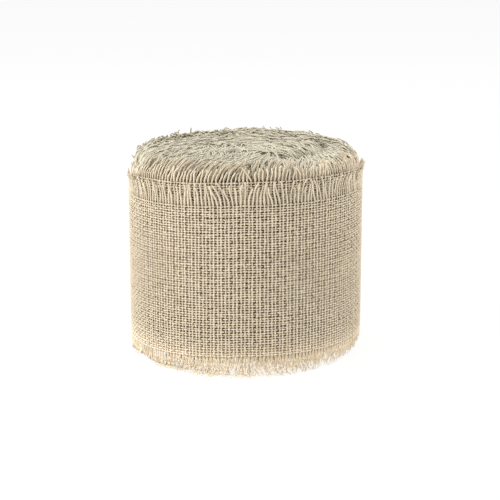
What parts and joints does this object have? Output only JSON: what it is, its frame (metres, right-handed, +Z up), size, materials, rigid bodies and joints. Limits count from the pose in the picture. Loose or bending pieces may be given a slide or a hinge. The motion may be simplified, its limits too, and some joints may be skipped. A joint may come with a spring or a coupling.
{
  "type": "ribbon spool",
  "caption": "Roll of coarse woven ribbon with frayed edges, wound on a plain card core and standing on end, with a free end that peels off and lies straight.",
  "frame": {"origin": "on the floor, on the core's axis", "axes": "+Z up along the core's axis; -Y towards the side that the picture shows; the free end is on the +Y side"},
  "size_m": [0.0797, 0.0802, 0.0685],
  "materials": {
    "woven_linen": "coarse plain weave, undyed",
    "frayed_yarn": "loose undyed yarn",
    "core_card": "plain wound card",
    "tape_film": "plain paper tape"
  },
  "bodies": {
    "roll": {"core_tube": "core_card", "start_tape": "tape_film", "packed_turns": "woven_linen", "deck_fringe_1": "frayed_yarn", "deck_fringe_2": "frayed_yarn", "deck_fringe_3": "frayed_yarn", "deck_fringe_4": "frayed_yarn", "deck_fringe_5": "frayed_yarn", "deck_fringe_6": "frayed_yarn", "deck_fringe_7": "frayed_yarn", "deck_fringe_8": "frayed_yarn", "wound_turns": "woven_linen", "second_turn": "woven_linen", "second_fringe_1": "frayed_yarn", "second_fringe_2": "frayed_yarn", "second_fringe_3": "frayed_yarn", "second_fringe_4": "frayed_yarn", "outer_turn": "woven_linen", "outer_top_fringe_1": "frayed_yarn", "outer_top_fringe_2": "frayed_yarn", "outer_top_fringe_3": "frayed_yarn", "outer_foot_fringe_1": "frayed_yarn", "outer_foot_fringe_2": "frayed_yarn", "outer_foot_fringe_3": "frayed_yarn"},
    "tail_1": {"tail_link_1": "woven_linen"},
    "tail_2": {"tail_link_2": "woven_linen"},
    "tail_3": {"tail_link_3": "woven_linen"},
    "tail_4": {"tail_link_4": "woven_linen"},
    "tail_5": {"tail_link_5": "woven_linen"},
    "tail_6": {"tail_link_6": "woven_linen"}
  },
  "joints": [
    {"name": "tail_peel", "type": "hinge", "parent": "roll", "child": "tail_1", "pos_m": [0.02828, 0.02828, 0.03115], "axis": [0, 0, -1], "range_deg": [0, 15]},
    {"name": "tail_bend_2", "type": "hinge", "parent": "tail_1", "child": "tail_2", "pos_m": [0.02002, 0.03467, 0.03115], "axis": [0, 0, -1], "range_deg": [0, 15]},
    {"name": "tail_bend_3", "type": "hinge", "parent": "tail_2", "child": "tail_3", "pos_m": [0.01037, 0.03871, 0.03115], "axis": [0, 0, -1], "range_deg": [0, 15]},
    {"name": "tail_bend_4", "type": "hinge", "parent": "tail_3", "child": "tail_4", "pos_m": [0, 0.04012, 0.03115], "axis": [0, 0, -1], "range_deg": [0, 15]},
    {"name": "tail_bend_5", "type": "hinge", "parent": "tail_4", "child": "tail_5", "pos_m": [-0.01039, 0.03879, 0.03115], "axis": [0, 0, -1], "range_deg": [0, 15]},
    {"name": "tail_bend_6", "type": "hinge", "parent": "tail_5", "child": "tail_6", "pos_m": [-0.0201, 0.03482, 0.03115], "axis": [0, 0, -1], "range_deg": [0, 15]}
  ],
  "couplings": [
    {"joint": "tail_bend_2", "follows": "tail_peel", "ratio": 1},
    {"joint": "tail_bend_3", "follows": "tail_peel", "ratio": 1},
    {"joint": "tail_bend_4", "follows": "tail_peel", "ratio": 1},
    {"joint": "tail_bend_5", "follows": "tail_peel", "ratio": 1},
    {"joint": "tail_bend_6", "follows": "tail_peel", "ratio": 1}
  ]
}
